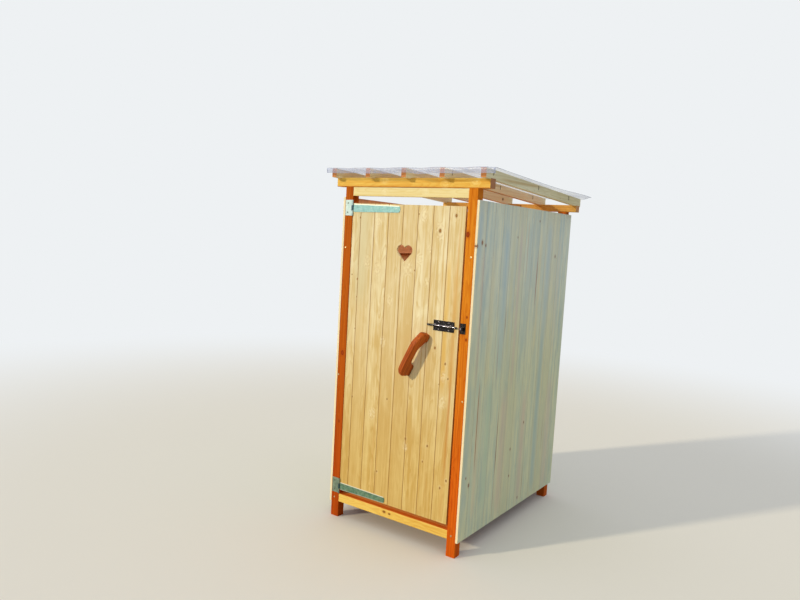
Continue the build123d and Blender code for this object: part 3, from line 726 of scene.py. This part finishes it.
# Blued steel wire: dark brown with a dull metallic edge.
blued = gritty_steel("blued_steel_wire", "#5A4A3C", "#2E2722", 0.6, 0.42, grit=0.003)
turn = np.linspace(0, np.pi / 2, 6)
upper = np.stack([np.cos(turn) - 1, 0 * turn, np.sin(turn) - 1], axis=-1) * clip_knee
lower = np.stack([np.cos(turn) - 1, 0 * turn, 1 - np.sin(turn)], axis=-1)[::-1] * clip_knee
clip_path = np.concatenate([lower - (0, 0, clip_length), upper])
left_side, inner_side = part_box("rafter_1")[0].x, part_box("rafter_4")[1].x
clip_faces = {"right": (rafter_high.x, 1.0), "left": (left_side, -1.0), "inner": (inner_side, 1.0)}
for side, (face, sign) in clip_faces.items():
    for number, y in enumerate(clip_places, 1):
        path = clip_path * (sign, 1, 1) + (face + sign * clip_wire, y, roof_top(y) - clip_drop)
        clip = wire(f"sheet_clip_{side}_{number}", path, clip_wire)
        clip.data.materials.append(blued)
        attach(clip, "cabin")

# Door: eight tongued and grooved spruce boards, oiled, paler at the top and darker and yellower
# towards the bottom, with two ledges and a brace screwed on inside. The oil makes the wood warm and
# satin, with brown knots, and pale swirls where a knot lies just under the face.
door_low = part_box("door_board_1")[0]
door_ripped = 65.0
first_seam = door_low.x * 1000 + door_ripped - board_cover
door_knots = [
    (-375, 1969, 4), (321, 2003, 7), (218, 1912, 8), (231, 1225, 6), (308, 1141, 5), (219, 629, 5),
    (192, 526, 4), (324, 396, 5), (364, 450, 5), (-94, 857, 4), (60, 638, 5), (-143, 382, 4),
    (66, 2004, 3), (56, 1669, 3), (-376, 1582, 4), (333, 1056, 4), (274, 1014, 3), (-420, 1607, 3),
    (-374, 1468, 3), (-375, 1265, 3), (-370, 822, 4),
]
door_swirls = [
    (218, 1912, 12), (-304, 1700, 11), (-222, 1662, 12), (4, 1680, 14), (154, 1802, 8), (143, 1604, 8),
    (302, 910, 11), (-205, 744, 10), (61, 590, 8), (-116, 1474, 10), (104, 2002, 10), (-231, 1950, 9),
    (88, 1740, 8), (300, 1062, 9), (-150, 1210, 9),
]
door_streaks = [
    ("#CF9138", 346, 480, 900, 17, 0.7), ("#D09048", 350, 860, 1150, 10, 0.8),
    ("#DDA860", 352, 1200, 1900, 7, 0.5), ("#F2DFAC", 346, 400, 440, 34, 0.5),
    ("#C89A50", 228, 340, 440, 9, 0.6), ("#FBF0CC", 100, 1990, 2030, 28, 0.6),
    ("#F7EBC6", -270, 900, 2000, 12, 0.6), ("#F7EBC6", -60, 300, 1500, 10, 0.5),
    ("#F9EECB", 110, 700, 1900, 14, 0.5), ("#D9AE66", 250, 1350, 1950, 5, 0.5),
    ("#DDB36C", -180, 250, 900, 6, 0.45), ("#F9EECB", 210, 250, 900, 12, 0.45),
    ("#DAD3AC", -345, 1450, 2200, 100, 0.5), ("#C98A48", 345, 900, 1500, 6, 0.5),
    ("#E0B468", 348, 1000, 1700, 34, 0.7), ("#DDB062", 338, 220, 700, 24, 0.4),
    ("#E8BC58", 294, 1000, 1750, 26, 0.7),
]
door_boards = timber(
    "oiled_spruce_door_boards", "#FBF1CC", "#DEC284", "xyz", "door_board_4", 71,
    boards=(first_seam, board_cover), knots=door_knots, pale_knots=door_swirls, streaks=door_streaks,
    knot_colour="#B4843A", rim_colour="#865826", seam_colour="#B07C3A",
    board_tint="#DFC48C", tint_show=0.55, halo_colour="#FCEFC6", streak_width=13.0, ring_show=0.45,
    cloud_show=0.5, arc_show=0.16, tone_show=0.5, end_colour="#E0C488",
    patches=[("#EEDDAE", "z", 1750, 300, 1.0)], rough=0.55,
)
for count in range(1, 9):
    finish(f"door_board_{count}", door_boards)
ledge_knots = dict(loose_knots=260.0, knot_colour="#A9762E", rim_colour="#74491C", end_colour="#D9B878")
ledge_wood = timber(
    "oiled_spruce_ledges", "#EAD296", "#CFA860", "zyx", "door_ledge_upper", 73, **ledge_knots
)
for level in ("upper", "lower"):
    finish(f"door_ledge_{level}", ledge_wood)
brace_wood = timber(
    "oiled_spruce_brace", "#EAD296", "#CFA860", "xyz", "door_brace", 74, turn=-20.6, **ledge_knots
)
finish("door_brace", brace_wood)

# Hinges: galvanised sheet steel, each a screwed plate with a pin and a long strap with a rolled
# eye. The zinc has set in faint grey-green flowers; the lower pair is darker and greener, a
# painted reflection of the grass.
strap_taper = 0.014
rim_shows = (-0.0055, -0.0035)
eye_shows = (0.015, 0.012)


def galvanised(name, pale, deep, metallic, strap=None, rim_highlights=(0.0, 0.0)):
    """Hot-dipped zinc: crystals 11 mm across, each its own tone and dullness, with faint blotches.
    A strap gets a pale painted highlight along its upper and lower rim, by those two shares, and its
    eye is darkened by painted shade. How far a place is past a rim is its height beyond it plus the
    taper times x along the strap."""
    made, add = material(name)
    place = add("TexCoord", out="Object")
    flowers = add("SeparateXYZ", [add("TexVoronoi", {"Vector": place, "Scale": 1 / 0.011}, out="Color")])
    blotch = add("TexNoise", {"Vector": place, "Scale": 1 / 0.03, "Detail": 3.0})
    level = add("Math MULTIPLY_ADD", [flowers, 0.35, blotch])
    level = add("MapRange", [level, 0.4, 0.95])
    tone = add("Mix", {"Factor": level, 6: deep, 7: pale}, **IN_COLOUR)
    if strap:
        low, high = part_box(strap)
        spot = add("SeparateXYZ", [place], out=None)
        along = add("Math SUBTRACT", [spot.outputs["X"], low.x])
        fall = add("Math MULTIPLY", [along, strap_taper])
        for rim, side, share in ((high.z, 1.0, rim_highlights[0]), (low.z, -1.0, rim_highlights[1])):
            past = add("Math MULTIPLY_ADD", [spot.outputs["Z"], side, -side * rim])
            past = add("Math ADD", [past, fall])
            # painted highlight: a pale band along each rim of the strap
            painted_highlight = add("MapRange", [past, *rim_shows, 0.0, share])
            tone = add("Mix", {"Factor": painted_highlight, 6: tone, 7: "#FBF8EA"}, **IN_COLOUR)
        # painted shade: the strap's eye is darkened where the barrel lies in shade
        eye_shade = add("MapRange", [along, *eye_shows, 0.0, 0.8])
        tone = add("Mix", {"Factor": eye_shade, 6: tone, 7: "#3A5468"}, **IN_COLOUR)
    dull = add("MapRange", [level, 0.0, 1.0, 0.5, 0.38])
    steel = add("BsdfPrincipled", {"Base Color": tone, "Metallic": metallic, "Roughness": dull})
    add("OutputMaterial", [steel], out=None)
    return made


finish("hinge_plate_upper", galvanised("galvanised_plate", "#CFE3E4", "#AECBCC", 0.35))
upper_strap = galvanised("galvanised_strap", "#94BEC0", "#76A6A9", 0.6, "hinge_strap_upper", (0.8, 0.0))
finish("hinge_strap_upper", upper_strap)
# painted reflection: the lower plate and strap are darker and greener, as the grass reflects in them
finish("hinge_plate_lower", galvanised("galvanised_plate_with_painted_grass_reflection", "#98AA94", "#6E8274", 0.5))
lower_strap = galvanised(
    "galvanised_strap_with_painted_grass_reflection", "#84A68C", "#547C66", 0.55, "hinge_strap_lower", (0.9, 0.3)
)
finish("hinge_strap_lower", lower_strap)

# Screws: pan-head screws with a cross recess hold the plates, the straps and the bolt, and
# countersunk ones the posts' joints and, from inside, the door's ledges. Bright zinc, the bolt's
# lacquered black and rubbed grey.
hinge_head, bolt_head = (0.0048, 0.0016), (0.0042, 0.0014)
post_head, ledge_head = (0.0056, 0.0009), (0.0045, 0.0006)
sheet_steel = 0.003
strap_holes = ((0.05, 0.011), (0.075, -0.011), (0.155, 0), (0.24, 0), (0.34, 0))
plate_hole_x, plate_hole_z = 0.019, 0.029
case_hole_x, bolt_hole_z = 0.035, 0.009
ledge_hole_z = 0.022
post_holes = (
    (-0.486, 1.776), (-0.478, 0.126), (-0.492, 0.949), (0.433, 1.771), (0.438, 0.939), (0.420, 0.128),
)


def screw_heads(places, facing, radius, dome, turns, rows=10, columns=28):
    """Domed heads: height = dome (1 - r^4) above the face, less a cross whose arms are the places
    where the smaller of the two in-plane distances is under a fifth of the radius."""
    share = np.concatenate([np.linspace(0.02, 0.95, rows - 3), [1.0, 1.02, 1.0]])
    level = dome * (1 - np.clip(share, 0, 1) ** 4)
    level[-3:] = (0.3 * dome, 0.05 * dome, -0.0004)
    spun = np.linspace(0, -2 * np.pi, columns, endpoint=False) + np.asarray(turns)[:, None, None]
    first, second = share[:, None] * np.cos(spun), share[:, None] * np.sin(spun)
    narrow, wide = np.minimum(abs(first), abs(second)), np.maximum(abs(first), abs(second))
    cross = smooth((0.2 - narrow) / 0.1) * smooth((0.72 - wide) / 0.12)
    return round_heads(places, facing, radius, share, level[:, None] - 0.75 * dome * cross, columns)


front, back = (0.0, -1.0, 0.0), (0.0, 1.0, 0.0)
dice = np.random.default_rng(7)


def screws(name, body, metal, places, head, facing=front):
    """One mesh of heads of that radius and dome at those places, each turned differently."""
    heads = screw_heads(places, facing, *head, dice.uniform(0, 1.5, len(places)))
    heads = surface(name, heads, closed_around=True, caps=True)
    heads.data.materials.append(metal)
    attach(heads, body)


# Plated screw steel: each set has the tone of what it holds, from bright zinc to rubbed black.
# The lower strap's screws share its painted grass reflection, and the hinge plates' screws are
# painted dark as painted shade of their holes.
bright_zinc = gritty_steel("yellow_zinc_screws", "#DCCB9C", "#A8966A", 0.85, 0.34)
strap_zinc = gritty_steel("strap_screws", "#B4D2D0", "#86A8A8", 0.6, 0.34)
# painted reflection: the lower strap's screws share its green reflection of the grass
strap_grass_reflection = gritty_steel("strap_screws_with_painted_grass_reflection", "#94A684", "#6C8062", 0.6, 0.34)
# painted shade: the hinge plates' screws are dark as the holes they sit in
plate_screw_shade = gritty_steel("zinc_screws_in_painted_shade", "#7C7C74", "#4A4B46", 0.8, 0.34)
black_zinc = gritty_steel("black_screws", "#3A3334", "#1C1718", 0.5, 0.34)
case_zinc = gritty_steel("grey_screws", "#A09A9C", "#6A6468", 0.8, 0.34)
door_face = door_low.y
case_low, case_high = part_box("bolt_case")
keeper_low, keeper_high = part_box("bolt_keeper")
plate_face = case_high.y - sheet_steel
hinge_heights = [middle_of(f"hinge_plate_{level}").z for level in ("upper", "lower")]
plate_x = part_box("hinge_plate_upper")[0].x + plate_hole_x
strap_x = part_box("hinge_strap_upper")[0].x
plate_holes = [(plate_x, plate_face, z + dz) for z in hinge_heights for dz in (-plate_hole_z, plate_hole_z)]
screws("hinge_plate_screws", "cabin", plate_screw_shade, plate_holes, hinge_head)
strap_names = (("upper_strap_screws", strap_zinc), ("lower_strap_screws", strap_grass_reflection))
for (name, metal), z in zip(strap_names, hinge_heights):
    screws(name, "door", metal, [(strap_x + dx, plate_face, z + dz) for dx, dz in strap_holes], hinge_head)
case_x = (case_low.x + case_hole_x, case_high.x - case_hole_x)
case_z = (case_low.z + bolt_hole_z, case_high.z - bolt_hole_z)
case_holes = [(x, plate_face, z) for x in case_x for z in case_z]
screws("bolt_case_screws", "door", case_zinc, case_holes, bolt_head)
keeper_x = (keeper_low.x + keeper_high.x) / 2
keeper_z = (keeper_low.z + bolt_hole_z, keeper_high.z - bolt_hole_z)
keeper_holes = [(keeper_x, plate_face, z) for z in keeper_z]
screws("bolt_keeper_screws", "cabin", black_zinc, keeper_holes, bolt_head)
screws("post_screws", "cabin", bright_zinc, [(x, door_face, z) for x, z in post_holes], post_head)
ledge_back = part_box("door_ledge_upper")[1].y
ledge_z = [middle_of(f"door_ledge_{level}").z for level in ("upper", "lower")]
board_x = [middle_of(f"door_board_{n}").x for n in range(1, 9)]
ledge_holes = [
    (x, ledge_back, z + dz) for x in board_x for z in ledge_z for dz in (-ledge_hole_z, ledge_hole_z)
]
screws("ledge_screws", "door", bright_zinc, ledge_holes, ledge_head, facing=back)

# Bolt: pressed plate with two guides, a round rod with a knob and a keeper, all lacquered black.
# The lacquer is scratched through to steel in places; bright steel is also painted along the rod's
# upper half, on the keeper and on the case's faces that look up, as painted highlights.
rod_low, rod_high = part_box("bolt_rod")
# painted highlights: boxes where bright steel is painted on the rod's upper half and on the keeper
rod_highlight = (rod_low.x + 0.048, rod_high.x - 0.009, 1.3625, 1.38)
keeper_highlight = (keeper_low.x + 0.002, keeper_low.x + 0.016, 1.356, 1.366)


def worn_lacquer(name, wear, painted_highlight=None, top_highlight=0.0):
    """Black lacquer over steel: noise of 12 mm along x, 3 and 2 mm across, lets the metal show
    where it is above a limit set by the wear, with a grit of 2 mm in the gloss. Inside the highlight
    box, the low and high x and the low and high z of a box, bright steel is painted over nearly all
    of it as a painted highlight, and the last argument is the share of the same painted highlight
    on faces that look up."""
    made, add = material(name)
    place = add("TexCoord", out="Object")
    scratch_at = add("VectorMath MULTIPLY", [place, (1 / 0.012, 1 / 0.003, 1 / 0.002)])
    scratch = add("TexNoise", {"Vector": scratch_at, "Scale": 1.0, "Detail": 3.0})
    bare = add("MapRange", [scratch, 0.66 - wear, 0.74 - wear], **EASED)
    if painted_highlight:
        split = add("SeparateXYZ", [place], out=None)
        inside = 0.9
        for axis, stop, fade in zip("XXZZ", painted_highlight, (0.003, -0.003, 0.0015, -0.0015)):
            part = add("MapRange", [split.outputs[axis], stop - fade, stop + fade])
            inside = add("Math MULTIPLY", [part, inside])
        bare = add("Math MAXIMUM", [bare, inside])
    # painted highlight on the faces that look up
    if top_highlight:
        upward = add("SeparateXYZ", [add("TexCoord", out="Normal")], out="Z")
        upward = add("MapRange", [upward, 0.3, 0.8, 0.0, top_highlight])
        bare = add("Math MAXIMUM", [bare, upward])
    grit = add("TexNoise", {"Vector": place, "Scale": 1 / 0.002, "Detail": 2.0})
    ink = add("Mix", {"Factor": grit, 6: "#100C0D", 7: "#1E181A"}, **IN_COLOUR)
    paint = {"Base Color": add("Mix", {"Factor": bare, 6: ink, 7: "#B8B2C0"}, **IN_COLOUR)}
    paint["Roughness"] = add("MapRange", [grit, 0.0, 1.0, 0.16, 0.34])
    paint["Metallic"] = add("MapRange", [bare, 0.0, 1.0, 0.0, 0.95])
    paint["Specular IOR Level"] = 0.3
    add("OutputMaterial", [add("BsdfPrincipled", paint)], out=None)
    return made


finish("bolt_case", worn_lacquer("black_lacquered_steel", 0.03, top_highlight=0.75))
finish("bolt_keeper", worn_lacquer("lacquered_keeper_wear_and_highlight", 0.03, keeper_highlight))
finish("bolt_rod", worn_lacquer("lacquered_rod_wear_and_highlight", 0.02, rod_highlight))

# Handle: sawn from thick timber as a bow with two feet, its edges rasped round, oiled red-brown
# and screwed on from inside; it leans towards the hinges so that the grip clears the bolt. The
# oil leaves a satin skin with dark late wood along the bow.
handle_top = np.array((0.178, door_face, 1.305))
handle_tilt, handle_lean = np.radians(26.0), np.radians(13.0)
handle_along = np.array((-np.sin(handle_tilt), 0.0, -np.cos(handle_tilt)))
handle_out = np.array((-np.cos(handle_tilt), 0.0, np.sin(handle_tilt))) * np.sin(handle_lean)
handle_out[1] = -np.cos(handle_lean)
handle_across = np.cross(handle_along, handle_out)
handle_half_width = 0.0208
handle_outer = np.array([(5, -21), (0, 52), (72, 87), (268, 87), (302, 64), (304, -21)]) / 1000
handle_inner = np.array([(56, -21), (56, 2), (112, 37), (196, 37), (226, 4), (228, -21)]) / 1000


def eased(corners, steps=16, reach=5):
    """Points along straight lines between the corners, a fixed count to each line, with every
    corner eased by a running mean that reaches that many points to each side."""
    share = np.arange(steps)[:, None] / steps
    lines = [a + (b - a) * share for a, b in zip(corners[:-1], corners[1:])]
    points = np.concatenate([*lines, corners[-1:]])
    ends = np.concatenate([np.repeat(points[:1], reach, 0), points, np.repeat(points[-1:], reach, 0)])
    weight = np.hanning(2 * reach + 3)[1:-1]
    mean = np.stack([np.convolve(ends[:, k], weight / weight.sum(), mode="valid") for k in (0, 1)], axis=-1)
    mean[0], mean[-1] = points[0], points[-1]
    return mean


def handle_points(around=44, power=4.6):
    """The bow's surface: at each step along it a squared ellipse whose height runs from the inner
    to the outer edge of the sawn blank and whose width is the timber's. Each half is the cosine
    or sine of the angle raised to 2/power. Both feet are cut off flat on the door's face."""
    outer, inner = eased(handle_outer), eased(handle_inner)
    middle, half = (outer + inner) / 2, (outer - inner) / 2
    along = np.linspace(0, 1, len(outer))
    taper = 1 - 0.10 * smooth((along - 0.6) / 0.4) - 0.10 * smooth((0.15 - along) / 0.15)
    angle = np.linspace(0, 2 * np.pi, around, endpoint=False)
    rise, wide = (np.sign(part) * np.abs(part) ** (2 / power) for part in (np.cos(angle), np.sin(angle)))
    flat = middle[:, None] + half[:, None] * rise[None, :, None]
    points = handle_top + flat[..., :1] * handle_along + flat[..., 1:] * handle_out
    foot = smooth((0.045 - flat[..., 1]) / 0.05) * (0.04 + 0.34 * smooth((along[:, None] - 0.5) / 0.3))
    points = points + (handle_half_width * taper[:, None] * (1 - foot) * wide)[..., None] * handle_across
    points[..., 1] = np.minimum(points[..., 1], door_face)
    return points


handle = surface("carved_handle", handle_points(), closed_around=True, caps=True)
oiled_bow = timber(
    "oiled_red_brown_handle", "#DC7222", "#963F0C", "xyz", "door_handle", 81, turn=-26.0,
    streak_width=5.0, streak_show=0.6, tone_show=0.4, ring=3.2, ring_show=0.4, rough=0.55, gloss=0.2,
)
handle.data.materials.append(oiled_bow)
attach(handle, "door")
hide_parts("door_handle")
